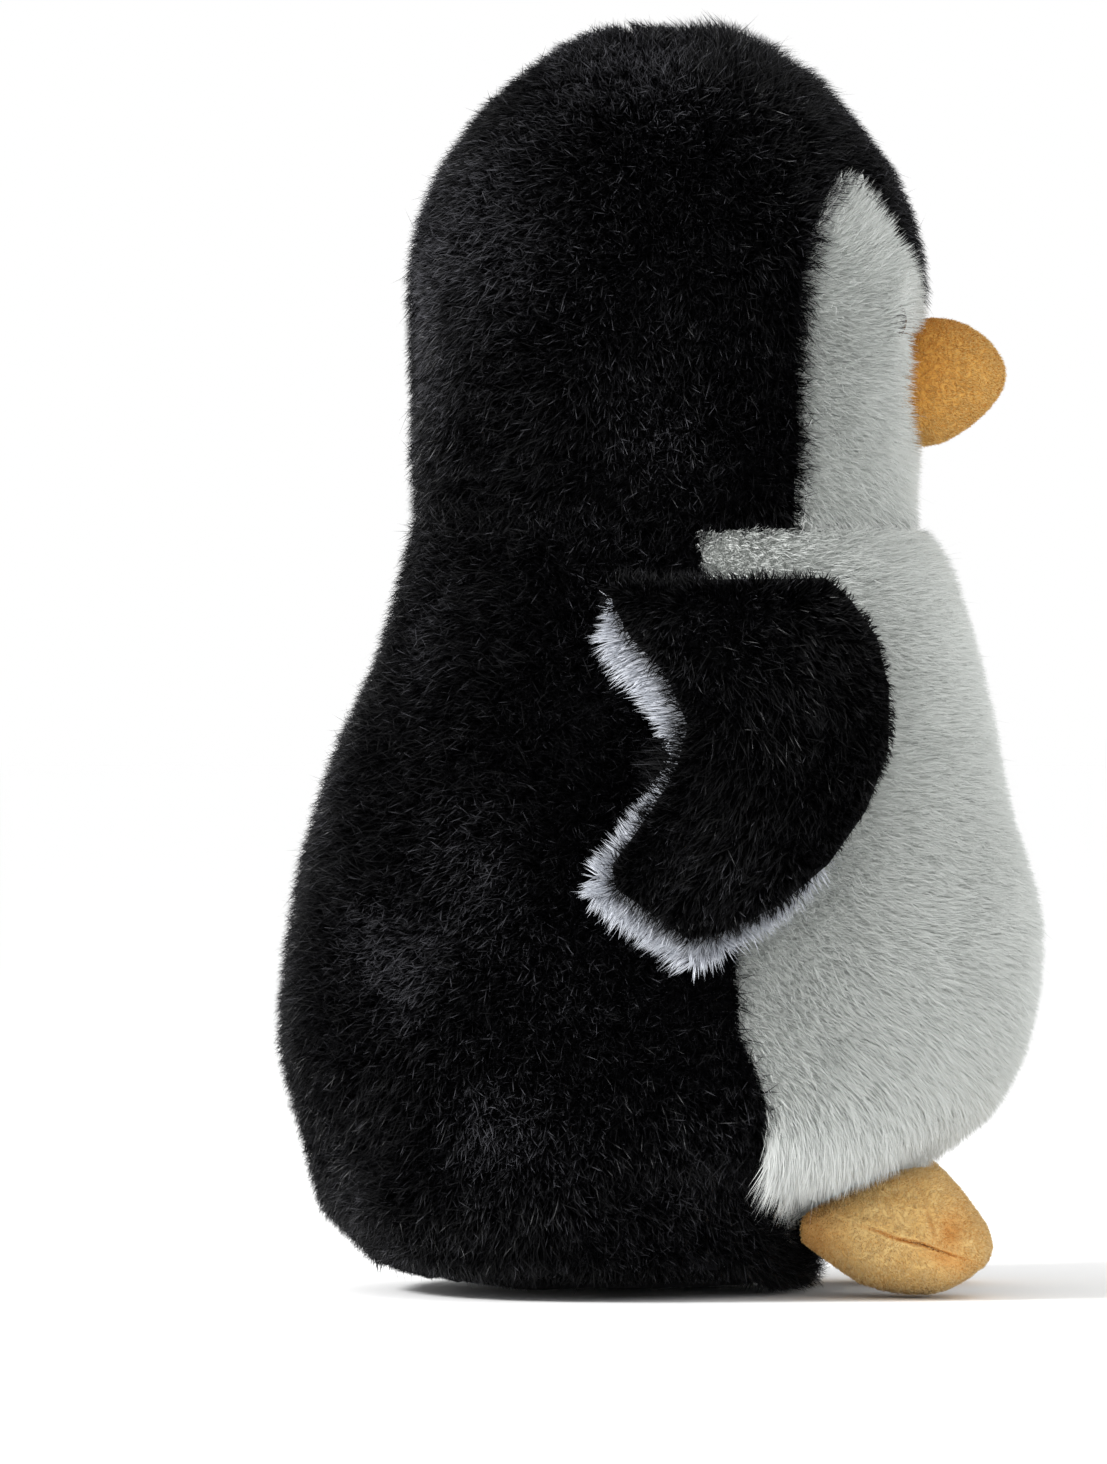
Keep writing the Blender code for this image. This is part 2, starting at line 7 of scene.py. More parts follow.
import json
import math

import bpy
import numpy as np
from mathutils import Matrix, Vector
from mathutils.bvhtree import BVHTree


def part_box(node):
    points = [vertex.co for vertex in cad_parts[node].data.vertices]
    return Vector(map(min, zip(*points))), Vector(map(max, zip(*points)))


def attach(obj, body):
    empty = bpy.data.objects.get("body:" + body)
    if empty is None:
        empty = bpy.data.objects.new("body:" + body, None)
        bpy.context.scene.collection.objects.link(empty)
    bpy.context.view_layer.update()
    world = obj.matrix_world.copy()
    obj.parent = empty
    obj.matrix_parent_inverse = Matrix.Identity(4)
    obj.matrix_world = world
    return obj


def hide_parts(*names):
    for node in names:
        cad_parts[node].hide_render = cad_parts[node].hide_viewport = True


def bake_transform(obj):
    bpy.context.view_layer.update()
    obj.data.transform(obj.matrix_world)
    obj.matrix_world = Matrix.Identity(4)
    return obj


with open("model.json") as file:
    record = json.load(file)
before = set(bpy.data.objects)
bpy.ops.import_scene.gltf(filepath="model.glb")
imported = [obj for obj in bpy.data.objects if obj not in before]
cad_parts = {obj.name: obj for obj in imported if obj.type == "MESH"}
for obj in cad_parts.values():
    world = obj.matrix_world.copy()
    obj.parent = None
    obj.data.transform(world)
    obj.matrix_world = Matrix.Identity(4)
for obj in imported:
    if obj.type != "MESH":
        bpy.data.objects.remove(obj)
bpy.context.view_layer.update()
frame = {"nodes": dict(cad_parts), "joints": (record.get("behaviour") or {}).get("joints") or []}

MM = 0.001
CLOTH = 0.8 * MM  # backing cloth under the pile
FLOOR_CLEARANCE = 0.3 * MM  # no blade goes lower than this
THICKEST = 7 * MM  # no CAD panel is thicker
HEM_WIDTH = 1.6 * MM  # of the strip beside a panel's edge that its cloth's hem moves
BLACK_HEM = 1.2 * MM  # at a seam, the black panels' cloth reaches over the white ones'
WHITE_HEM = 0.2 * MM
EDGE_STEP = 0.7 * MM  # between the points that stand for a panel's edge
ROOT_DEPTH = 0.15 * MM  # how far under the cloth's face a blade starts
STRAYS = 0.004  # the share of blades that are stray, longer ones
SMALL_TUFT, BIG_TUFT = 1.3 * MM, 3.6 * MM  # about how far across the tufts are that pile gathers in
SEAM_STRIP = 1.6 * MM  # beside a seam, where pile may lie across it
TORSO_LOW, TORSO_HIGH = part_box("body_stuffing")
HEAD_LOW, HEAD_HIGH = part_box("head_stuffing")
BEAK_LOW, BEAK_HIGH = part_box("beak_stuffing")
BEAK_ROOT = np.array([0.0, BEAK_HIGH.y, (BEAK_LOW.z + BEAK_HIGH.z) / 2])
ELBOW = 29.6 * MM  # below the shoulder: where the flipper's trim is narrowest
SIM_FRAMES = 20  # of the cloth simulations that stuff the beak and feet
NECK = (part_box("back_panel_left")[1].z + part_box("head_side_left")[0].z) / 2
SIDES = {"left": 1.0, "right": -1.0}


# Camera, light and floor

def make_camera():
    """A long lens square to the penguin's right side."""
    data = bpy.data.cameras.new("camera")
    data.lens = 300.0
    data.sensor_width = 36.0
    data.clip_end = 100.0
    seen_height = 231.0 * MM
    aim_y, aim_z = 16.6 * MM, 88.0 * MM
    camera = bpy.data.objects.new("camera", data)
    camera.location = (-seen_height * data.lens / data.sensor_width, aim_y, aim_z)
    camera.rotation_euler = (math.pi / 2, 0.0, -math.pi / 2)
    bpy.context.scene.collection.objects.link(camera)
    bpy.context.scene.camera = camera


def area_light(name, place, size, power):
    """A round lamp aimed at the middle of the penguin."""
    data = bpy.data.lights.new(name, "AREA")
    data.shape = "DISK"
    data.size = size
    data.energy = power
    light = bpy.data.objects.new(name, data)
    light.location = place
    aim = Vector((0.0, 0.0, 0.1)) - Vector(place)
    light.rotation_euler = aim.to_track_quat("-Z", "Y").to_euler()
    bpy.context.scene.collection.objects.link(light)


def make_studio():
    """Even white surroundings, a key light high behind, a weak fill by the camera, and a pale floor."""
    scene = bpy.context.scene
    scene.view_settings.view_transform = "Standard"
    world = bpy.data.worlds.new("studio")
    scene.world = world
    world.use_nodes = True
    background = world.node_tree.nodes["Background"]
    background.inputs["Color"].default_value = (1.0, 1.0, 1.0, 1.0)
    background.inputs["Strength"].default_value = 1.0
    area_light("key_high_behind", (-0.45, 0.85, 0.70), 0.25, 14.0)
    area_light("fill_low", (-0.70, -0.40, 0.08), 0.5, 0.9)

    bpy.ops.mesh.primitive_plane_add(size=60.0, location=(0.0, 0.0, 0.0))
    floor = bpy.context.object
    floor.name = "floor"
    floor.data.materials.append(new_material("floor", (1.0, 1.0, 1.0), 0.9)[0])


# Materials

def new_material(name, colour, roughness):
    """A plain material, with its nodes, links and shader."""
    material = bpy.data.materials.new(name)
    material.use_nodes = True
    nodes, links = material.node_tree.nodes, material.node_tree.links
    shader = nodes["Principled BSDF"]
    shader.inputs["Base Color"].default_value = (*colour, 1.0)
    shader.inputs["Roughness"].default_value = roughness
    return material, nodes, links, shader


def ramp(nodes, links, value, stops):
    """A colour for each value; a stop is a place and a colour, or a grey."""
    node = nodes.new("ShaderNodeValToRGB")
    elements = node.color_ramp.elements
    while len(elements) < len(stops):
        elements.new(0.5)
    for element, (place, colour) in zip(elements, stops):
        element.position = place
        element.color = (*colour, 1.0) if isinstance(colour, tuple) else (colour, colour, colour, 1.0)
    links.new(value, node.inputs["Fac"])
    return node.outputs["Color"]


def mixed(nodes, links, kind, first, second, factor=1.0):
    """Two colours mixed, by a number or by another node's output."""
    mix = nodes.new("ShaderNodeMix")
    mix.data_type = "RGBA"
    mix.blend_type = kind
    if isinstance(factor, float):
        mix.inputs["Factor"].default_value = factor
    else:
        links.new(factor, mix.inputs["Factor"])
    links.new(first, mix.inputs["A"])
    links.new(second, mix.inputs["B"])
    return mix.outputs["Result"]


def pile_material(name, along, fibres, roughness, specular):
    """Blades coloured along their length, times a tone for each fibre."""
    material, nodes, links, shader = new_material(name, along[-1][1], roughness)
    shader.inputs["Specular IOR Level"].default_value = specular
    place = nodes.new("ShaderNodeUVMap")
    place.uv_map = "OFBake"
    split = nodes.new("ShaderNodeSeparateXYZ")
    links.new(place.outputs["UV"], split.inputs["Vector"])
    length = ramp(nodes, links, split.outputs["Y"], along)
    fibre = ramp(nodes, links, split.outputs["X"], fibres)
    links.new(mixed(nodes, links, "MULTIPLY", length, fibre), shader.inputs["Base Color"])
    return material


def cloth_material(name, dark, light, scale, roughness, bump_strength, specular=0.5, wear_and_shade=None):
    """Two tones of noise and a fine bump.

    The colour given last is used where the mesh's attribute of wear and shade is 0.5: worn velour's
    deeper colour, also painted shade in dimples, folds, seams and joints; where that is 1, it is a
    crease's painted shade.
    """
    material, nodes, links, shader = new_material(name, light, roughness)
    shader.inputs["Specular IOR Level"].default_value = specular
    place = nodes.new("ShaderNodeTexCoord")
    patches = nodes.new("ShaderNodeTexNoise")
    patches.inputs["Scale"].default_value = scale
    patches.inputs["Detail"].default_value = 5.0
    links.new(place.outputs["Object"], patches.inputs["Vector"])
    colour = ramp(nodes, links, patches.outputs["Fac"], [(0.35, dark), (0.65, light)])
    if wear_and_shade:
        attribute = nodes.new("ShaderNodeAttribute")
        attribute.attribute_name = "wear_and_shade"
        # Painted shade: the half value deepens the colour in dimples, folds, seams and joints, and the
        # full value turns a crease near-black.
        stops = [(0.0, wear_and_shade), (0.5, wear_and_shade), (1.0, (0.10, 0.045, 0.012))]
        rubbed_and_shaded = ramp(nodes, links, attribute.outputs["Fac"], stops)
        share = ramp(nodes, links, attribute.outputs["Fac"], [(0.0, 0.0), (0.5, 1.0)])
        colour = mixed(nodes, links, "MIX", colour, rubbed_and_shaded, share)
    links.new(colour, shader.inputs["Base Color"])
    grain = nodes.new("ShaderNodeTexNoise")
    grain.inputs["Scale"].default_value = scale * 9.0
    grain.inputs["Detail"].default_value = 3.0
    links.new(place.outputs["Object"], grain.inputs["Vector"])
    relief = nodes.new("ShaderNodeBump")
    relief.inputs["Strength"].default_value = bump_strength
    relief.inputs["Distance"].default_value = 0.2 * MM
    links.new(grain.outputs["Fac"], relief.inputs["Height"])
    links.new(relief.outputs["Normal"], shader.inputs["Normal"])
    return material


def make_materials():
    """Pile by the colours along a blade and the tones of blades, and the rest by two colours."""
    # Painted glints: a few fibres in a hundred get the black pile's full tip colour; the rest stay dark.
    painted_glints = [(0.0, 0.06), (0.8, 0.14), (0.97, 1.0)]
    soft = [(0.0, 0.92), (0.5, 0.97), (1.0, 1.0)]
    deep = [(0.0, (0.97, 0.78, 0.55)), (0.6, 0.95), (1.0, 1.0)]
    # The black pile's tips are pale grey, as painted glints on the fibres whose tone is high.
    black = [(0.0, (0.0015, 0.0015, 0.002)), (0.65, (0.005, 0.005, 0.006)), (1.0, (0.17, 0.17, 0.19))]
    # The white pile is lighter at the root than at the tip: painted light that offsets the shade deep in
    # the pile.
    white = [(0.0, (0.93, 0.95, 0.93)), (0.5, (0.86, 0.88, 0.86)), (1.0, (0.78, 0.80, 0.78))]
    # The flipper's white trim pile, painted darker and bluer as shade.
    trim_white_painted_shade = [(0.0, (0.44, 0.46, 0.50)), (0.5, (0.56, 0.58, 0.63)), (1.0, (0.64, 0.67, 0.72))]
    beak = [(0.0, (0.62, 0.28, 0.04)), (0.5, (0.66, 0.41, 0.12)), (1.0, (0.68, 0.50, 0.24))]
    foot = [(0.0, (0.66, 0.38, 0.10)), (0.5, (0.72, 0.51, 0.22)), (1.0, (0.76, 0.65, 0.42))]
    piles = {  # colours along a blade, tones of blades, roughness and specular level
        "black_pile": (black, painted_glints, 0.32, 0.12),
        "white_pile": (white, soft, 0.7, 0.15),
        "trim_pile_painted_shade": (trim_white_painted_shade, soft, 0.55, 0.2),
        "beak_fuzz": (beak, deep, 0.75, 0.15),
        "foot_fuzz": (foot, deep, 0.75, 0.15),
    }
    # Deeper orange for worn velour, which also stands as painted shade in dimples, folds, seams and
    # joints.
    beak_wear_and_shade, foot_wear_and_shade = (0.50, 0.22, 0.02), (0.56, 0.22, 0.03)
    cloths = {  # dark, light, noise scale, roughness, bump, specular level and the colour of wear and painted shade
        "black_cloth": ((0.002, 0.002, 0.002), (0.004, 0.004, 0.005), 900.0, 0.95, 0.4, 0.08),
        "white_cloth": ((0.82, 0.84, 0.82), (0.88, 0.90, 0.88), 900.0, 0.9, 0.4),
        # The flipper's white inner cloth, painted dark grey-blue as shade.
        "trim_cloth_painted_shade": ((0.20, 0.21, 0.23), (0.26, 0.27, 0.29), 900.0, 0.95, 0.4),
        "beak_velour": ((0.64, 0.34, 0.07), (0.70, 0.42, 0.11), 260.0, 0.9, 0.2, 0.5, beak_wear_and_shade),
        "foot_velour": ((0.68, 0.44, 0.15), (0.76, 0.56, 0.24), 260.0, 0.9, 0.2, 0.5, foot_wear_and_shade),
        "fibre_fill": ((0.74, 0.74, 0.71), (0.88, 0.88, 0.85), 220.0, 0.95, 0.8),
        "pouch_cloth": ((0.58, 0.56, 0.50), (0.70, 0.68, 0.62), 1100.0, 0.9, 0.6),
        "eye_plastic": ((0.003, 0.003, 0.003), (0.006, 0.005, 0.005), 40.0, 0.07, 0.02, 0.3),
        "washer_plastic": ((0.72, 0.72, 0.70), (0.80, 0.80, 0.78), 300.0, 0.5, 0.2),
    }
    materials = {name: pile_material(name, *look) for name, look in piles.items()}
    materials.update({name: cloth_material(name, *look) for name, look in cloths.items()})
    return materials


# Geometry taken from the frame

def unit(vectors):
    return vectors / np.maximum(np.linalg.norm(vectors, axis=-1, keepdims=True), 1e-12)


def dot(a, b):
    """Row by row."""
    return np.einsum("ij,ij->i", a, b)


def tangent(vectors, normals):
    """The part of each vector that lies across its normal."""
    return vectors - dot(vectors, normals)[:, None] * normals


def bump(distance, width):
    """1 where the distance is 0, falling off smoothly over the width."""
    return np.exp(-((distance / width) ** 2))


def welded(node):
    """A CAD node's points and triangles, with the points that its shading had split made one."""
    mesh = frame["nodes"][node].data
    points = np.empty(len(mesh.vertices) * 3, np.float32)
    mesh.vertices.foreach_get("co", points)
    mesh.calc_loop_triangles()
    corners = np.empty(len(mesh.loop_triangles) * 3, np.int32)
    mesh.loop_triangles.foreach_get("vertices", corners)
    points = points.reshape(-1, 3).astype(float)
    cells = np.round(points / (0.002 * MM))
    _, first, index = np.unique(cells, axis=0, return_index=True, return_inverse=True)
    triangles = index.reshape(-1)[corners].reshape(-1, 3)
    whole = (triangles[:, 0] != triangles[:, 1]) & (triangles[:, 1] != triangles[:, 2])
    whole &= triangles[:, 0] != triangles[:, 2]
    return points[first], triangles[whole]


def face_frame(points, triangles):
    """Centres, unit normals and areas of triangles."""
    a, b, c = (points[triangles[:, k]] for k in range(3))
    normal = np.cross(b - a, c - a)
    size = np.linalg.norm(normal, axis=1)
    return (a + b + c) / 3, normal / np.maximum(size, 1e-15)[:, None], size / 2


def torso_outward(centres):
    """The direction away from the middle of the body or, above the neck, of the head."""
    axis = np.zeros_like(centres)
    in_head = centres[:, 2] > NECK
    body = (~in_head, TORSO_LOW, TORSO_HIGH, 4 * MM)
    head = (in_head, HEAD_LOW, HEAD_HIGH, 36 * MM)
    for where, low, high, dome in (body, head):
        axis[where, 1] = (low.y + high.y) / 2
        axis[where, 2] = np.clip(centres[where, 2], low.z + 4 * MM, high.z - dome)
    return unit(centres - axis)


def sideways(sign):
    """The direction of one side, everywhere."""
    return lambda centres: np.tile([sign, 0.0, 0.0], (len(centres), 1))


def nearest(points, targets):
    """How far each point is from the nearest target, and which target that is."""
    distance = np.empty(len(points))
    which = np.empty(len(points), int)
    for start in range(0, len(points), 4000):
        part = points[start:start + 4000]
        squares = (part**2).sum(1)[:, None] + (targets**2).sum(1)[None, :] - 2 * part @ targets.T
        index = squares.argmin(axis=1)
        which[start:start + 4000] = index
        distance[start:start + 4000] = np.linalg.norm(part - targets[index], axis=1)
    return distance, which


class Roots:
    """Where blades of pile start: arrays that are cut down together."""

    def __init__(self, **arrays):
        self.__dict__.update(arrays)

    def where(self, mask):
        return Roots(**{name: array[mask] for name, array in self.__dict__.items()})

    def __len__(self):
        return len(self.place)


class Sheet:
    """The outer face of a CAD panel, and under each of its points the cloth's, where pile is rooted.

    hem is how far the cloth reaches past the panel's edge, or is drawn in from it where that is negative,
    and over what width. depth is how deep the cloth lies at a point; without it, it lies on the panel's
    back.
    """

    def __init__(self, node, outward, hem, depth=None):
        self.points, self.triangles = welded(node)
        centres, normals, areas = face_frame(self.points, self.triangles)
        side = dot(normals, outward(centres))
        broad = self.broad_faces(centres, normals)
        self.outer = broad & (side > 0)
        self.areas = areas
        self.normals = np.zeros_like(self.points)
        for k in range(3):
            np.add.at(self.normals, self.triangles[:, k], (areas * self.outer)[:, None] * normals)
        self.normals = unit(self.normals)
        self.on_face = np.zeros(len(self.points), bool)
        self.on_face[self.triangles[self.outer]] = True

        behind = BVHTree.FromPolygons(self.points.tolist(), self.triangles[broad & (side <= 0)].tolist())
        self.cloth = self.points.copy()
        for i in np.flatnonzero(self.on_face):
            if depth:
                self.cloth[i] -= self.normals[i] * depth(self.points[i])
                continue
            near, _, _, thickness = behind.find_nearest(Vector(self.points[i]))
            share = min(1.0, CLOTH / max(thickness, 1e-9))
            self.cloth[i] = np.array(near) * (1 - share) + self.points[i] * share
        self.find_edge()
        amount, width = hem
        distance, which = nearest(self.cloth, self.cloth_edge)
        self.cloth += self.edge_out[which] * (amount * bump(distance, width))[:, None]
        # At the neck seam, the head's cloth comes down over the body's.
        past = self.cloth[:, 2] - NECK
        closing = np.where(past > 0, -2.0 * MM, 0.3 * MM)
        self.cloth[:, 2] += closing * bump(past, 2.5 * MM)

    def broad_faces(self, centres, normals):
        """True for the panel's two broad faces, where it is thin behind them; false for its rim."""
        solid = BVHTree.FromPolygons(self.points.tolist(), self.triangles.tolist())
        broad = np.zeros(len(centres), bool)
        for i, (centre, normal) in enumerate(zip(centres, normals)):
            start = Vector(centre - normal * 0.02 * MM)
            hit = solid.ray_cast(start, Vector(-normal))
            broad[i] = hit[0] is not None and hit[3] < THICKEST and abs(hit[1] @ Vector(normal)) > 0.6
        return broad

    def find_edge(self):
        """Points along the edge of the outer face, which is the seam, and the way across it."""
        kept = self.triangles[self.outer]
        sides = np.concatenate([kept[:, [0, 1, 2]], kept[:, [1, 2, 0]], kept[:, [2, 0, 1]]])
        ends = np.sort(sides[:, :2], axis=1)
        _, first, count = np.unique(ends, axis=0, return_index=True, return_counts=True)
        edge, cloth_edge, edge_out = [], [], []
        for a, b, c in sides[first[count == 1]]:
            span = self.points[b] - self.points[a]
            length = np.linalg.norm(span)
            across = self.points[a] - self.points[c]
            across = across - span * (across @ span) / max(length, 1e-9) ** 2
            across = across / max(np.linalg.norm(across), 1e-9)
            for share in np.linspace(0, 1, int(length / EDGE_STEP) + 2):
                edge.append(self.points[a] + span * share)
                cloth_edge.append(self.cloth[a] * (1 - share) + self.cloth[b] * share)
                edge_out.append(across)
        self.edge = np.array(edge)
        self.cloth_edge = np.array(cloth_edge)
        self.edge_out = np.array(edge_out)

    def sample(self, per_cm2, rng):
        """Random roots over the outer face, following the panel's roundness."""
        kept = self.triangles[self.outer]
        areas = self.areas[self.outer]
        count = int(areas.sum() * 1e4 * per_cm2)
        pick = kept[rng.choice(len(kept), count, p=areas / areas.sum())]
        share = rng.dirichlet([1.0, 1.0, 1.0], count)[:, :, None]
        corners, normals = self.points[pick], self.normals[pick]
        flat = (share * corners).sum(axis=1)
        normal = unit((share * normals).sum(axis=1))
        off = np.einsum("ijk,ijk->ij", flat[:, None, :] - corners, normals)
        rounded = flat - (share * off[:, :, None] * normals).sum(axis=1) * 0.75
        cloth = (share * self.cloth[pick]).sum(axis=1) + (rounded - flat)
        distance, which = nearest(rounded, self.edge)
        return Roots(
            outer=rounded, normal=normal, place=cloth, height=np.linalg.norm(rounded - cloth, axis=1),
            edge=distance, across=self.edge_out[which],
        )


# Soft unevenness, as sums of plane waves

def waves(seed, wavelength, count=10):
    """A smooth random field, mostly between -1 and 1."""
    rng = np.random.default_rng(seed)
    way = unit(rng.normal(size=(count, 3)))
    pitch = way * (2 * math.pi / wavelength) * rng.uniform(0.6, 1.5, (count, 1))
    phase = rng.uniform(0, 2 * math.pi, count)
    return lambda points: np.sin(points @ pitch.T + phase).sum(axis=1) / math.sqrt(count)


broad_dents = waves(11, 55 * MM)
small_dents = waves(12, 22 * MM)
broad_swirl = [waves(20 + k, 34 * MM) for k in range(3)]
fine_swirl = [waves(30 + k, 9 * MM) for k in range(3)]
patch_tone = waves(41, 38 * MM)
seam_ripple = waves(77, 3.2 * MM)
# Spots of painted sheen on the black pile, where more fibres get painted glints: y, z and radius in mm
PAINTED_SHEEN_SPOTS = [(40, 52, 9), (22, 25, 10), (29, 166, 17), (2, 191, 10)]
NOTCH_Y = 4.2 * MM  # the crown seam's dip


def field(parts, points):
    """Three random fields as one of vectors."""
    return np.stack([part(points) for part in parts], axis=1)


def on_crown(points):
    """1 on top of the head, 0 below it, and 0 towards its sides."""
    top = np.clip((points[:, 2] - (HEAD_HIGH.z - 9 * MM)) / (9 * MM), 0, 1)
    return top * np.exp(-((points[:, 0] / (26 * MM)) ** 4))


def tone_and_painted_sheen(points):
    """The pile's tone, which on the black pile sets how many fibres get painted glints: random broad
    patches, and spots of painted sheen.
    """
    total = 0.2 * np.maximum(patch_tone(points), 0)
    for y, z, radius in PAINTED_SHEEN_SPOTS:
        away = np.hypot(points[:, 1] - y * MM, points[:, 2] - z * MM)
        total += 0.5 * bump(away + 0.2 * radius * MM * small_dents(points), radius * MM)
    return total


def sunk(points):
    """How far in the cloth lies at each point: soft dents, and the crown seam's dip across the head."""
    depth = 0.4 * MM * (1 + broad_dents(points)) + 0.2 * MM * small_dents(points)
    return depth + 0.7 * MM * on_crown(points) * bump(points[:, 1] - NOTCH_Y, 1.6 * MM)


# Building meshes

def mesh_object(name, points, polygons, material):
    mesh = bpy.data.meshes.new(name)
    mesh.from_pydata(points.tolist(), [], polygons.tolist())
    mesh.materials.append(material)
    obj = bpy.data.objects.new(name, mesh)
    bpy.context.scene.collection.objects.link(obj)
    return obj


def apply_modifiers(obj):
    """Make the mesh what its modifiers make of it."""
    bpy.context.view_layer.update()
    evaluated = obj.evaluated_get(bpy.context.evaluated_depsgraph_get())
    mesh = bpy.data.meshes.new_from_object(evaluated)
    obj.modifiers.clear()
    obj.data = mesh


def join_to(obj, body, blend):
    """Ride on a body or, given two points, only take on the object's transform and stay unattached."""
    if blend:
        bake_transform(obj)
    else:
        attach(obj, body)


def make_cloth(name, sheet, node, body, material, blend=None):
    """The backing: the CAD panel with its outer face drawn in to a cloth's thickness, and dented."""
    points = sheet.cloth - sheet.normals * (sunk(sheet.cloth) * sheet.on_face)[:, None]
    obj = mesh_object(name, points, sheet.triangles, material)
    finer = obj.modifiers.new("finer", "SUBSURF")
    finer.subdivision_type = "SIMPLE"
    finer.levels = finer.render_levels = 1
    apply_modifiers(obj)
    obj.data.shade_smooth()
    obj.data.set_sharp_from_angle(angle=math.radians(60))
    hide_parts(node)
    join_to(obj, body, blend)
    return obj


def blades(name, root, middle, tip, widths, tone, material, rng):
    """One mesh of tapered blades, with each one's tone and the height along it as its UVs.

    A blade is a four-cornered face and a triangle, on five points.
    """
    count = len(root)
    half = unit(np.cross(unit(tip - root), rng.normal(size=(count, 3)))) * widths[:, None] / 2
    points = np.stack([root - half, root + half, middle - half * 0.85, middle + half * 0.85, tip], axis=1)
    points[:, :, 2] = np.maximum(points[:, :, 2], FLOOR_CLEARANCE)
    base = np.arange(count)[:, None] * 5
    corners = np.concatenate([base + [0, 1, 3, 2], base + [2, 3, 4]], axis=1)
    starts = np.stack([np.arange(count) * 7, np.arange(count) * 7 + 4], axis=1)

    mesh = bpy.data.meshes.new(name)
    mesh.vertices.add(count * 5)
    mesh.vertices.foreach_set("co", points.astype(np.float32).ravel())
    mesh.loops.add(count * 7)
    mesh.loops.foreach_set("vertex_index", corners.astype(np.int32).ravel())
    mesh.polygons.add(count * 2)
    mesh.polygons.foreach_set("loop_start", starts.astype(np.int32).ravel())
    uv = np.empty((count, 7, 2), np.float32)
    uv[:, :, 0] = np.clip(tone, 0.02, 0.98)[:, None]
    uv[:, :, 1] = [0.02, 0.02, 0.5, 0.5, 0.5, 0.5, 0.98]
    mesh.uv_layers.new(name="OFBake").data.foreach_set("uv", uv.ravel())
    mesh.update(calc_edges=True)
    mesh.validate()
    mesh.shade_smooth()
    mesh.materials.append(material)
    obj = bpy.data.objects.new(name, mesh)
    bpy.context.scene.collection.objects.link(obj)
    return obj


def gathered(points, cell, share, rng):
    """Points drawn a share of the way to the middle of their tuft; tufts are about one cell across."""
    warp = field(fine_swirl, points) * cell * 0.6
    keys = np.floor((points + warp) / cell).astype(np.int64)
    _, group = np.unique(keys, axis=0, return_inverse=True)
    group = group.reshape(-1)
    total = np.zeros((group.max() + 1, 3))
    np.add.at(total, group, points)
    middle = total / np.bincount(group)[:, None]
    strength = share * rng.uniform(0.2, 1.0, group.max() + 1)[group][:, None]
    return points + (middle[group] - points) * strength


def make_pile(name, roots, body, material, slot, lie, rng, tall=1.0, lean=(10.0, 34.0), width=0.18 * MM,
              least=0.0, wild=0.2, tuft=0.25, swirl=1.0, gloss=0.45, blend=None):
    """Blades of pile on their roots.

    lie is the way that they lie over, and its length how far: 1 is the whole of lean, the angles in
    degrees from upright of a blade's lower and upper half. They reach the CAD panel's outer face, or are
    least long where that is longer, times tall. wild, tuft and swirl are how much they differ, gather in
    tufts, and lie in swirls. Their middle tone comes last; a higher one gives black pile more painted
    glints.
    """
    count = len(roots)
    normal = roots.normal
    lie = lie + (field(broad_swirl, roots.outer) * 0.45 + field(fine_swirl, roots.outer) * 0.2) * swirl
    lie = tangent(lie + rng.normal(size=(count, 3)) * wild, normal)
    strength = np.minimum(np.linalg.norm(lie, axis=1), 2.0)
    lie = unit(lie)
    tilts = [np.radians(angle) * strength * rng.uniform(0.75, 1.2, count) for angle in lean]
    lower, upper = (np.cos(tilt)[:, None] * normal + np.sin(tilt)[:, None] * lie for tilt in tilts)
    upright = np.maximum((np.cos(tilts[0]) + np.cos(tilts[1])) / 2, 0.6)
    length = np.maximum(roots.height / upright, least) * tall * rng.uniform(0.76, 1.16, count)
    stray = rng.random(count) < STRAYS
    length[stray] *= rng.uniform(1.15, 1.5, stray.sum())
    root = roots.place - normal * (sunk(roots.outer) + ROOT_DEPTH)[:, None]
    middle = root + lower * (length / 2)[:, None]
    tip = middle + upper * (length / 2)[:, None]
    drawn = gathered(gathered(tip, SMALL_TUFT, tuft, rng), BIG_TUFT, tuft * 0.6, rng)
    middle = middle + (drawn - tip) * 0.35
    # On the black pile, the tone decides which fibres get painted glints, so the painted sheen spots add
    # glinting fibres.
    tone = gloss + tone_and_painted_sheen(roots.outer) + rng.normal(0, 0.24, count)
    widths = width * rng.uniform(0.7, 1.25, count) * np.where(stray, 0.6, 1.0)
    obj = blades(name, root, middle, drawn, widths, tone, material, rng)
    join_to(obj, body, blend)
    return obj


# The torso and head

def down(points, normals):
    """The way down along the surface."""
    return tangent(np.tile([0.0, 0.0, -1.0], (len(points), 1)), normals)


def over_seams(roots, lie, reach, neck_reach=1.5):
    """Beside a seam, pile lies across it by reach, and at the neck by neck_reach."""
    reach = reach + (neck_reach - reach) * bump(roots.outer[:, 2] - NECK, 4 * MM)
    return lie + roots.across * (reach * bump(roots.edge, SEAM_STRIP))[:, None]


def forward_of(points, y):
    """0 behind a place in y, and 1 from 8 mm in front of it."""
    return np.clip((y - points[:, 1]) / (8 * MM), 0, 1)


def back_lie(roots):
    """Down, over the side seam, and low down behind the feet forward."""
    low = np.clip((14 * MM - roots.outer[:, 2]) / (8 * MM), 0, 1)
    forward = (forward_of(roots.outer, -8 * MM) * low)[:, None] * np.array([0.0, -1.4, 0.0])
    return over_seams(roots, 0.7 * down(roots.outer, roots.normal) + forward, 1.0 - 0.9 * hanging(roots))


def back_tall(roots):
    """Longer behind the feet, and shorter low on the back."""
    low = np.clip((14 * MM - roots.outer[:, 2]) / (6 * MM), 0, 1)
    forward = forward_of(roots.outer, -8 * MM)
    return 1.08 + low * (0.9 * forward - 0.1 * (1 - forward))


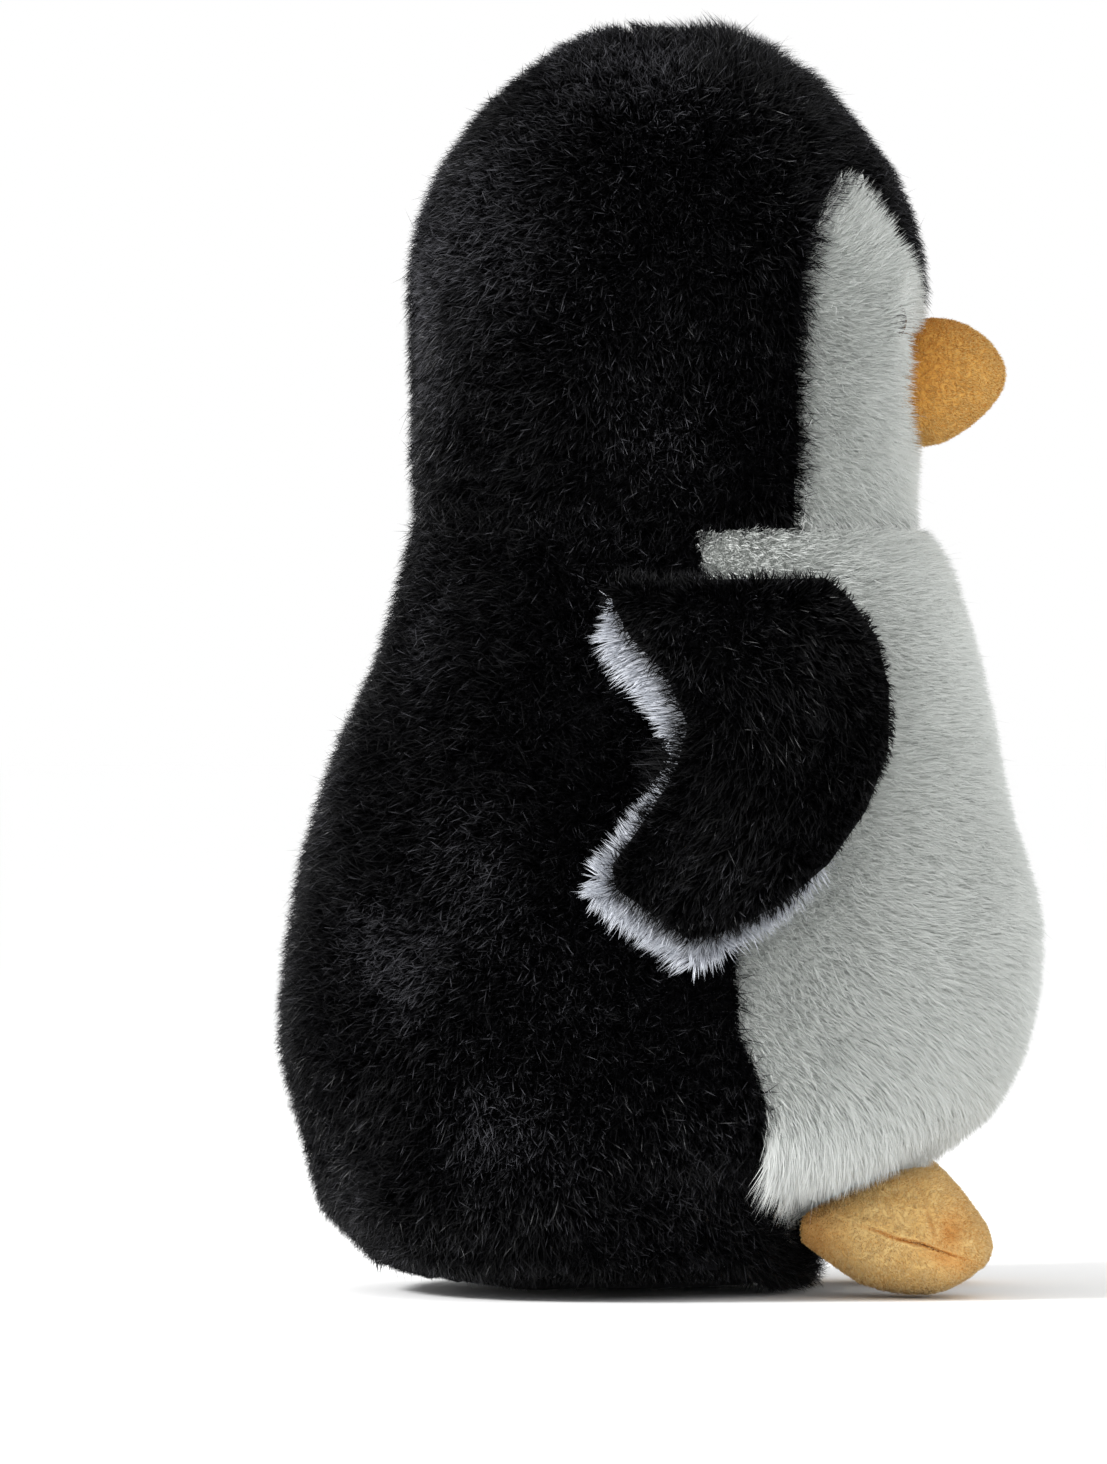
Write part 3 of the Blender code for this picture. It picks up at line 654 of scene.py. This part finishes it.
def base_lie(roots):
    """Down, and behind the feet forward too."""
    forward = forward_of(roots.outer, -12 * MM)[:, None] * np.array([0.0, -0.5, 0.0])
    return down(roots.outer, roots.normal) * 0.5 + forward


def base_tall(roots):
    """Longer behind the feet, and shorter at the back."""
    return 0.7 + 1.6 * forward_of(roots.outer, -12 * MM)


def hanging(roots):
    """0 high on the body, and 1 low enough for pile to hang down as a fringe."""
    return np.clip((33 * MM - roots.outer[:, 2]) / (10 * MM), 0, 1)


def belly_lie(roots):
    """Down, and low on the sides straight down, over the side seam."""
    hang = hanging(roots)
    lie = down(roots.outer, roots.normal) * (0.7 + 1.4 * hang)[:, None]
    return over_seams(roots, lie, 0.6 * hang, neck_reach=0.0)


def belly_tall(roots):
    """The sides' lower edge hangs in a longer fringe over the feet; the chest is full under the chin."""
    fringe = bump(roots.outer[:, 2] - 21 * MM, 7 * MM)
    front = np.clip((roots.outer[:, 1] + 50 * MM) / (14 * MM), 0, 1)
    under_chin = bump(roots.outer[:, 2] - 116 * MM, 6 * MM) * forward_of(roots.outer, -27 * MM)
    return 1 + 1.1 * fringe * front + 0.32 * under_chin


def crown_tall(roots):
    """Fullest above the forehead."""
    top = np.clip((roots.outer[:, 2] - (HEAD_HIGH.z - 7 * MM)) / (8 * MM), 0, 1)
    return 1 + 0.55 * forward_of(roots.outer, -3 * MM) * top


def head_lie(roots):
    """Down and a little back, over the cheek seam to the face, and open along the crown seam's dip."""
    points = roots.outer
    lie = np.tile([0.0, 0.2, -0.9], (len(points), 1))
    to_face = np.clip(1 - (points[:, 1] + 25 * MM) / (6 * MM), 0, 1)
    lie = lie + to_face[:, None] * np.array([0.0, -1.2, 0.5])
    past = points[:, 1] - NOTCH_Y
    part = np.sign(past) * bump(past, 3 * MM) * on_crown(points) * 0.35
    return over_seams(roots, tangent(lie, roots.normal), 1.0) + part[:, None] * np.array([0.0, 1.0, 0.0])


class Eye:
    """An eye's axis, front and radius, from its CAD solid."""

    def __init__(self, side):
        points, _ = welded(f"eye_{side}")
        low, high = points.min(axis=0), points.max(axis=0)
        middle = (low + high) / 2
        self.way = unit(np.array([[middle[0], middle[1] - (HEAD_LOW.y + HEAD_HIGH.y) / 2, 0.0]]))[0]
        self.front = points[np.argmax(points @ self.way)]
        self.front[2] = middle[2]
        self.radius = (high[2] - low[2]) / 2

    def off_axis(self, points):
        """From the axis to each point, square to the axis."""
        out = points - self.front
        return out - (out @ self.way)[:, None] * self.way

    def past_rim(self, points):
        """How far outside the eye's rim each point is."""
        return np.linalg.norm(self.off_axis(points), axis=1) - self.radius


EYES = {side: Eye(side) for side in SIDES}


def face_lie(roots):
    """Away from beak and eyes; upright against the beak, and nearly so on the eyes' outer side."""
    off = roots.outer - BEAK_ROOT
    away = np.clip((np.linalg.norm(off, axis=1) - 11 * MM) / (12 * MM), 0, 1)[:, None]
    lie = unit(off) * away * 0.9 + np.array([0.0, 0.0, -0.25])
    for side, eye in EYES.items():
        out = unit(eye.off_axis(roots.outer))
        near = bump(np.maximum(eye.past_rim(roots.outer), 0), 3.0 * MM)[:, None]
        aside = 1.3 - 0.9 * np.clip(SIDES[side] * out[:, :1], 0, 1)
        lie = lie * (1 - near) + out * near * aside
    return over_seams(roots, tangent(lie, roots.normal), 0.0)


def face_tall(roots):
    """Higher on the eyes' outer side, so that they look sunk in, and shorter on the inner side."""
    tall = np.ones(len(roots))
    for side, eye in EYES.items():
        near = bump(np.maximum(eye.past_rim(roots.outer), 0), 3 * MM)
        outer_side = np.clip(SIDES[side] * unit(eye.off_axis(roots.outer))[:, 0], -1, 1)
        tall += (0.45 + 0.2 * outer_side) * outer_side * near
    return tall


def clear_of_face(roots):
    """False where the beak or an eye is."""
    off = roots.outer - BEAK_ROOT
    free = np.hypot(off[:, 0] / (10.5 * MM), off[:, 2] / (9.3 * MM)) > 1.0
    for eye in EYES.values():
        free &= eye.past_rim(roots.outer) > 0.3 * MM
    return free


def base_depth(point):
    """Under the toy the pile is pressed flat, and round the rim it isn't."""
    return (1.0 + 1.8 * min(point[2] / (3 * MM), 1.0)) * MM


def pile_areas(node, roots):
    """The broad panels' pile is made in several pieces, so that none is too big to export whole."""
    high, left = roots.outer[:, 2] > 58 * MM, roots.outer[:, 0] > 0
    if node == "belly_panel":
        return {
            "_upper_left": high & left, "_upper_right": high & ~left,
            "_lower_left": ~high & left, "_lower_right": ~high & ~left,
        }
    if node.startswith("back_panel"):
        return {"_upper": high, "_lower": ~high}
    return {"": np.ones(len(roots), bool)}


def make_torso(materials):
    """Cloth and pile for each panel of the body and head."""
    panels = {  # colour, blades per square centimetre, way of lying and length
        "back_panel_left": ("black", 760.0, back_lie, back_tall),
        "back_panel_right": ("black", 760.0, back_lie, back_tall),
        "base_panel": ("black", 760.0, base_lie, base_tall),
        "head_side_left": ("black", 820.0, head_lie, crown_tall),
        "head_side_right": ("black", 820.0, head_lie, crown_tall),
        "crown_gusset": ("black", 820.0, head_lie, crown_tall),
        "belly_panel": ("white", 1150.0, belly_lie, belly_tall),
        "face_patch_left": ("white", 1200.0, face_lie, face_tall),
        "face_patch_right": ("white", 1200.0, face_lie, face_tall),
    }
    looks = {
        "black": {"lean": (8.0, 28.0), "wild": 1.0},
        "white": {"lean": (9.0, 28.0), "width": 0.19 * MM, "tuft": 0.1, "wild": 0.3, "swirl": 0.4},
    }
    hems = {"black": BLACK_HEM, "white": WHITE_HEM}
    for seed, (node, (colour, per_cm2, lie, tall)) in enumerate(panels.items()):
        rng = np.random.default_rng(100 + seed)
        depth = base_depth if node == "base_panel" else None
        sheet = Sheet(node, torso_outward, (hems[colour], HEM_WIDTH), depth)
        slot = f"{colour}_pile"
        make_cloth(f"{node}_cloth", sheet, node, "torso", materials[f"{colour}_cloth"])
        roots = sheet.sample(per_cm2, rng)
        if node.startswith("face"):
            roots = roots.where(clear_of_face(roots))
        if node == "base_panel":
            roots = roots.where(roots.outer[:, 2] > 0.8 * MM)  # the toy stands on the rest
        for area, mask in pile_areas(node, roots).items():
            part = roots.where(mask)
            make_pile(
                f"{node}_pile{area}", part, "torso", materials[slot], slot, lie(part), rng,
                tall=tall(part) * 1.1, **looks[colour],
            )


# Flippers

def make_flipper(side, materials):
    """A black outer face, and a white inner face, painted grey-blue as shade, whose pile shows as a rim
    behind and below the black.
    """
    sign = SIDES[side]
    body = f"flipper_{side}"
    joint = next(j for j in frame["joints"] if j["child"] == body)
    pivot = np.array(joint["pos_m"])
    hinge = [(pivot[0], pivot[1], pivot[2] + 1 * MM), (pivot[0], pivot[1], pivot[2] - 11 * MM)]
    black_node, white_node = f"flipper_outer_{side}", f"flipper_inner_{side}"
    drawn_in = (-1.3 * MM, 3.5 * MM)  # hems that leave the edge to the pile
    far_in = (-3.4 * MM, 4.5 * MM)
    rng = np.random.default_rng(200 + int(sign))
    points, triangles = welded(black_node)
    black_cover = BVHTree.FromPolygons(points.tolist(), triangles.tolist())

    def along(roots):
        return tangent(unit(roots.outer - pivot) + np.array([0.0, 0.1, -0.2]), roots.normal) * 0.8

    def fan(roots, reach):
        """Out over the edge near it, and along the flipper elsewhere."""
        near = bump(roots.edge, reach)[:, None]
        return along(roots) * (1 - near) + unit(roots.across * np.array([0.0, 1.0, 1.0])) * near * 1.5

    def in_trim(roots):
        """True where the white face shows past the black one."""
        start = roots.outer - roots.across * 0.8 * MM
        start[:, 0] -= sign * 6 * MM
        out = Vector((sign, 0.0, 0.0))
        return np.array([black_cover.ray_cast(Vector(place), out)[0] is None for place in start])

    black = Sheet(black_node, sideways(sign), hem=drawn_in)
    cloth_look = materials["black_cloth"]
    make_cloth(f"{black_node}_cloth", black, black_node, body, cloth_look, hinge)
    roots = black.sample(800.0, rng)
    rim = bump(roots.edge, 3.5 * MM)
    leading = forward_of(roots.outer, -20 * MM) * rim
    at_elbow = bump(roots.outer[:, 2] - (pivot[2] - ELBOW), 6 * MM) * rim * (1 - leading)
    tall = 1 + 1.4 * at_elbow - 0.45 * leading
    # The flipper's black pile has a lower middle tone, so fewer of its fibres carry painted glints.
    make_pile(
        f"{black_node}_pile", roots, body, materials["black_pile"], "black_pile", fan(roots, 3.5 * MM),
        rng, tall=tall, lean=(22.0, 50.0), least=3.6 * MM, tuft=0.5, wild=0.5, gloss=0.3, blend=hinge,
    )

    white = Sheet(white_node, sideways(-sign), hem=far_in)
    # The inner face's cloth is white, but is given the dark grey-blue of painted shade.
    cloth_look = materials["trim_cloth_painted_shade"]
    make_cloth(f"{white_node}_cloth", white, white_node, body, cloth_look, hinge)
    roots = white.sample(500.0, rng)
    trim = in_trim(roots)
    lie = np.where(trim[:, None], fan(roots, 4 * MM), along(roots))
    kept = trim | (roots.edge > 1.5 * MM)
    elbow = bump(roots.outer[:, 2] - (pivot[2] - ELBOW), 6 * MM)
    pinch = 1 - 0.75 * elbow * bump(roots.edge, 5 * MM)
    # The trim's white pile is given a grey-blue colour of painted shade.
    trim_look_painted_shade = materials["trim_pile_painted_shade"]
    make_pile(
        f"{white_node}_pile", roots.where(kept), body, trim_look_painted_shade, "white_pile", lie[kept], rng,
        tall=pinch[kept], lean=(20.0, 50.0), tuft=0.2, blend=hinge,
    )

    # The same panel's other face, where it shows past the black one, has the pile of the rim.
    trim_face = Sheet(white_node, sideways(sign), hem=far_in, depth=lambda point: 0.0)
    roots = trim_face.sample(1100.0, rng)
    roots = roots.where(in_trim(roots))
    below = pivot[2] - roots.outer[:, 2]
    narrow = 0.75 - 0.6 * bump(below - ELBOW, 6 * MM) - 0.35 * bump(below, 9 * MM)
    narrow += 0.2 * bump(below - 19 * MM, 6 * MM)
    make_pile(
        f"flipper_trim_{side}_pile", roots, body, trim_look_painted_shade, "white_pile", fan(roots, 9 * MM), rng,
        tall=narrow, lean=(44.0, 60.0), least=4.4 * MM, tuft=0.5, blend=hinge,
    )

    # The filling is thinned, so that it stays hidden where the seam opens.
    filling_node = f"flipper_stuffing_{side}"
    filling = mesh_object(f"flipper_filling_{side}", *welded(filling_node), materials["fibre_fill"])
    points, normals = mesh_points(filling)
    set_points(filling, points - normals * 0.9 * MM)
    refine(filling)
    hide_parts(filling_node)
    join_to(filling, body, hinge)


# Beak, feet and eyes

def remeshed(name, nodes, voxel, material, change):
    """Several CAD solids as one closed form; change moves a solid's points first."""
    points, polygons, start = [], [], 0
    for node in nodes:
        node_points, triangles = welded(node)
        points.append(change(node, node_points))
        polygons.append(triangles + start)
        start += len(node_points)
    obj = mesh_object(name, np.concatenate(points), np.concatenate(polygons), material)
    remesh = obj.modifiers.new("remesh", "REMESH")
    remesh.mode = "VOXEL"
    remesh.voxel_size = voxel
    apply_modifiers(obj)
    soften = obj.modifiers.new("soften", "SMOOTH")
    soften.factor = 0.5
    soften.iterations = 2
    apply_modifiers(obj)
    return obj


def mesh_points(obj):
    """A mesh's points and their normals."""
    points = np.empty(len(obj.data.vertices) * 3, np.float32)
    obj.data.vertices.foreach_get("co", points)
    normals = np.empty(len(obj.data.vertices) * 3, np.float32)
    obj.data.vertices.foreach_get("normal", normals)
    return points.reshape(-1, 3).astype(float), normals.reshape(-1, 3).astype(float)


def set_points(obj, points):
    obj.data.vertices.foreach_set("co", points.astype(np.float32).ravel())
    obj.data.update()


def stuffed(obj, pinned, cap, shrink, pressure):
    """Draw the form in by shrink, then blow it up as cloth, with the pinned points held.

    No point moves further than cap. Without the simulation, the form stays as it is.
    """
    start, normals = mesh_points(obj)
    small = start - normals * shrink
    set_points(obj, small)
    held = obj.vertex_groups.new(name="held")
    held.add([int(i) for i in np.flatnonzero(pinned(start))], 1.0, "REPLACE")
    cloth = obj.modifiers.new("cloth", "CLOTH")
    cloth.settings.use_pressure = True
    cloth.settings.uniform_pressure_force = pressure
    cloth.settings.effector_weights.gravity = 0.0
    cloth.settings.vertex_group_mass = "held"
    cloth.settings.tension_stiffness = 20.0
    cloth.settings.compression_stiffness = 20.0
    cloth.settings.bending_stiffness = 0.3
    for frame_number in range(1, SIM_FRAMES + 1):
        bpy.context.scene.frame_set(frame_number)
    apply_modifiers(obj)
    moved, _ = mesh_points(obj)
    shift = moved - small
    size = np.linalg.norm(shift, axis=1)[:, None]
    set_points(obj, small + shift * np.minimum(1.0, cap / np.maximum(size, 1e-9)))
    bpy.context.scene.frame_set(1)


def refine(obj, levels=1):
    """Subdivide the mesh smoothly."""
    finer = obj.modifiers.new("finer", "SUBSURF")
    finer.levels = finer.render_levels = levels
    apply_modifiers(obj)
    obj.data.shade_smooth()


def pressed(obj, points, normals, depth, wear_and_shade):
    """Press the form in by depth along its normals, and note where its velour is worn and has painted
    shade.
    """
    points = points - normals * depth[:, None]
    points[:, 2] = np.maximum(points[:, 2], FLOOR_CLEARANCE)
    set_points(obj, points)
    obj.data.attributes.new("wear_and_shade", "FLOAT", "POINT").data.foreach_set("value", wear_and_shade.astype(np.float32))


def fuzz(name, obj, body, material, rng, per_cm2, length, flow, blend=None, keep=None):
    """Velour: very short pile on a finished form, thinner where it is worn, and deeper in colour there as
    painted shade.
    """
    mesh = obj.data
    mesh.calc_loop_triangles()
    corners = np.empty(len(mesh.loop_triangles) * 3, np.int32)
    mesh.loop_triangles.foreach_get("vertices", corners)
    triangles = corners.reshape(-1, 3)
    points, normals = mesh_points(obj)
    wear_and_shade = np.empty(len(points), np.float32)
    mesh.attributes["wear_and_shade"].data.foreach_get("value", wear_and_shade)
    _, _, areas = face_frame(points, triangles)
    count = int(areas.sum() * 1e4 * per_cm2)
    pick = triangles[rng.choice(len(triangles), count, p=areas / areas.sum())]
    share = rng.dirichlet([1.0, 1.0, 1.0], count)[:, :, None]
    root = (share * points[pick]).sum(axis=1)
    normal = unit((share * normals[pick]).sum(axis=1))
    rubbed_and_shaded = (share[:, :, 0] * wear_and_shade[pick]).sum(axis=1)
    chosen = rubbed_and_shaded < 0.7
    if keep is not None:
        chosen &= keep(root)
    root, normal, rubbed_and_shaded = root[chosen], normal[chosen], rubbed_and_shaded[chosen]
    count = len(root)
    lie = unit(tangent(np.tile(flow, (count, 1)) + rng.normal(size=(count, 3)) * 0.5, normal))
    tilt = np.radians(rng.uniform(10, 60, count))
    way = np.cos(tilt)[:, None] * normal + np.sin(tilt)[:, None] * lie
    size = length * rng.uniform(0.6, 1.2, count) * (1 - 0.8 * rubbed_and_shaded)
    middle = root + way * (size / 2)[:, None]
    tip = root + unit(way + lie * 0.3) * size[:, None]
    # Worn and shaded places get deeper-coloured fuzz: painted shade.
    tone = 0.6 + 0.2 * patch_tone(root) + rng.normal(0, 0.15, count) - 1.8 * np.minimum(rubbed_and_shaded, 0.5)
    widths = np.full(count, 0.12 * MM)
    pile = blades(name, root - normal * 0.05 * MM, middle, tip, widths, tone, material, rng)
    join_to(pile, body, blend)
    return pile


def make_beak(materials):
    """One stuffed cone, rooted on the face cloth behind the pile, seamed along its top and underside."""
    root_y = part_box("beak_left")[1].y
    tip_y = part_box("beak_left")[0].y

    def reach_in(_node, points):
        """The root goes back to the cloth, and the two halves meet."""
        points = points.copy()
        points[points[:, 1] > root_y - 2.2 * MM, 1] += 4.2 * MM
        points[np.abs(points[:, 0]) < 0.25 * MM, 0] *= -0.4
        return points

    names = ["beak_left", "beak_right", "beak_stuffing"]
    obj = remeshed("beak", names, 0.9 * MM, materials["beak_velour"], reach_in)
    stuffed(obj, lambda points: points[:, 1] > root_y + 1.0 * MM, 0.8 * MM, 0.3 * MM, 3.0)
    refine(obj)
    points, normals = mesh_points(obj)
    seam = bump(points[:, 0], 0.5 * MM)
    from_root = (root_y - points[:, 1]) / (root_y - tip_y)
    upper = np.clip((points[:, 2] - BEAK_ROOT[2]) / (9 * MM) + 0.9, 0, 1)
    # Worn velour and painted shade towards the root, where the beak meets the face, and along its seam.
    wear_and_shade = 0.75 * np.clip(1 - from_root * 1.3, 0, 1) * upper
    pressed(obj, points, normals, 0.35 * MM * seam, np.clip(wear_and_shade + 0.3 * seam, 0, 1) / 2)
    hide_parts(*names)
    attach(obj, "torso")
    rng = np.random.default_rng(301)
    fuzz(
        "beak_fuzz", obj, "torso", materials["beak_fuzz"], rng, per_cm2=2300.0, length=0.75 * MM,
        flow=(0.0, -1.0, -0.3), keep=lambda root: root[:, 1] < root_y + 1.5 * MM,
    )


def make_foot(side, materials):
    """A stuffed foot whose side seam puckers, with a dimple that draws the toe's side in."""
    sign = SIDES[side]
    body = f"foot_{side}"
    upper, sole, filling = (f"foot_{part}_{side}" for part in ("upper", "sole", "stuffing"))
    joint = next(j for j in frame["joints"] if j["child"] == body)
    pivot = Vector(joint["pos_m"])
    seam_points, seam_triangles = welded(sole)
    _, seam_normals, _ = face_frame(seam_points, seam_triangles)
    seam_line = seam_points[np.unique(seam_triangles[seam_normals[:, 2] > 0.8])]

    def closed(node, points):
        """Close the seam's gap and run the heel in to the body."""
        points = points.copy()
        lift = {upper: -0.25, sole: 0.25}.get(node, 0.0) * MM
        points[nearest(points, seam_line)[0] < 0.6 * MM, 2] += lift
        points[:, 1] += np.clip((points[:, 1] - (pivot.y - 3.4 * MM)) / (2 * MM), 0, 1) * 3.0 * MM
        return points

    obj = remeshed(f"foot_{side}", [upper, sole, filling], 1.1 * MM, materials["foot_velour"], closed)
    stuffed(obj, lambda points: points[:, 1] > pivot.y - 1.5 * MM, 1.0 * MM, 0.3 * MM, 3.0)
    refine(obj, 2)
    points, normals = mesh_points(obj)
    y, z = points[:, 1] - pivot.y, points[:, 2] - pivot.z  # from the pivot
    low = np.clip((11 * MM - points[:, 2]) / (9 * MM), 0, 1)
    at_toe = np.clip((-y - 17 * MM) / (9 * MM), 0, 1)
    points[:, 1] += 3.2 * MM * low * at_toe  # the toe rounds in under itself
    outside = np.clip(sign * (points[:, 0] - pivot.x) / (9 * MM), -1, 1)
    both = np.abs(outside)
    crease_z = (-0.6 - 0.28 * (-y / MM - 11.0)) * MM  # falls towards the toe
    crease_y = bump(y + 18 * MM, 7.5 * MM)
    crease_z += 0.15 * MM * seam_ripple(points * np.array([0.0, 0.7, 0.0]))
    crease = bump(z - crease_z, 0.3 * MM) * crease_y * both
    fold_y = (-17.9 - 0.28 * (2.4 - z / MM)) * MM
    fold = bump(y - fold_y, 0.5 * MM) * bump(z - 0.6 * MM, 2.8 * MM) * both
    dimple = np.exp(-(((y + 21.7 * MM) / (2.2 * MM)) ** 2 + ((z + 0.1 * MM) / (2.8 * MM)) ** 2)) * both
    ripple = seam_ripple(points) * 0.12 * MM * bump(z - crease_z, 3 * MM)
    depth = 0.8 * MM * crease + 0.45 * MM * fold + 1.3 * MM * dimple + ripple
    near_crease = bump(z - crease_z + 1 * MM, 1.5 * MM) * bump(y + 22 * MM, 5 * MM) * both
    heel = np.clip(1 + y / (7 * MM), 0, 1)
    # Worn velour and painted shade in the fold, the dimple, at the heel and beside the crease; the crease
    # itself gets a near-black painted shade.
    wear_and_shade = np.clip(0.35 * fold + 0.8 * dimple + 0.5 * heel + 0.6 * near_crease, 0, 1) / 2
    pressed(obj, points, normals, depth, np.maximum(wear_and_shade, crease))
    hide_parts(upper, sole, filling)
    hinge = [tuple(pivot + Vector((0, 1.0 * MM, 0))), tuple(pivot + Vector((0, -7.0 * MM, 0)))]
    rng = np.random.default_rng(311 + int(sign))
    fuzz(
        f"foot_{side}_fuzz", obj, body, materials["foot_fuzz"], rng, per_cm2=2100.0, length=0.6 * MM,
        flow=(0.0, -0.8, -0.6), blend=hinge,
    )
    join_to(obj, body, hinge)


def make_eye(side, materials):
    """The CAD eye, rounded."""
    node = f"eye_{side}"
    points, triangles = welded(node)
    obj = mesh_object(f"safety_eye_{side}", points, triangles, materials["eye_plastic"])
    refine(obj, 2)
    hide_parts(node)
    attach(obj, "torso")


def finish_inside(materials):
    """Materials for the CAD solids that stay inside: fill, pouch and washers."""
    looks = {"stuffing": "fibre_fill", "pouch": "pouch_cloth", "washer": "washer_plastic"}
    for name, node in frame["nodes"].items():
        for word, look in looks.items():
            if word in name and not node.hide_render:
                for slot in node.material_slots:
                    slot.material = materials[look]


def main():
    make_camera()
    make_studio()
    materials = make_materials()
    make_torso(materials)
    for side in SIDES:
        make_flipper(side, materials)
        make_foot(side, materials)
        make_eye(side, materials)
    make_beak(materials)
    finish_inside(materials)


main()
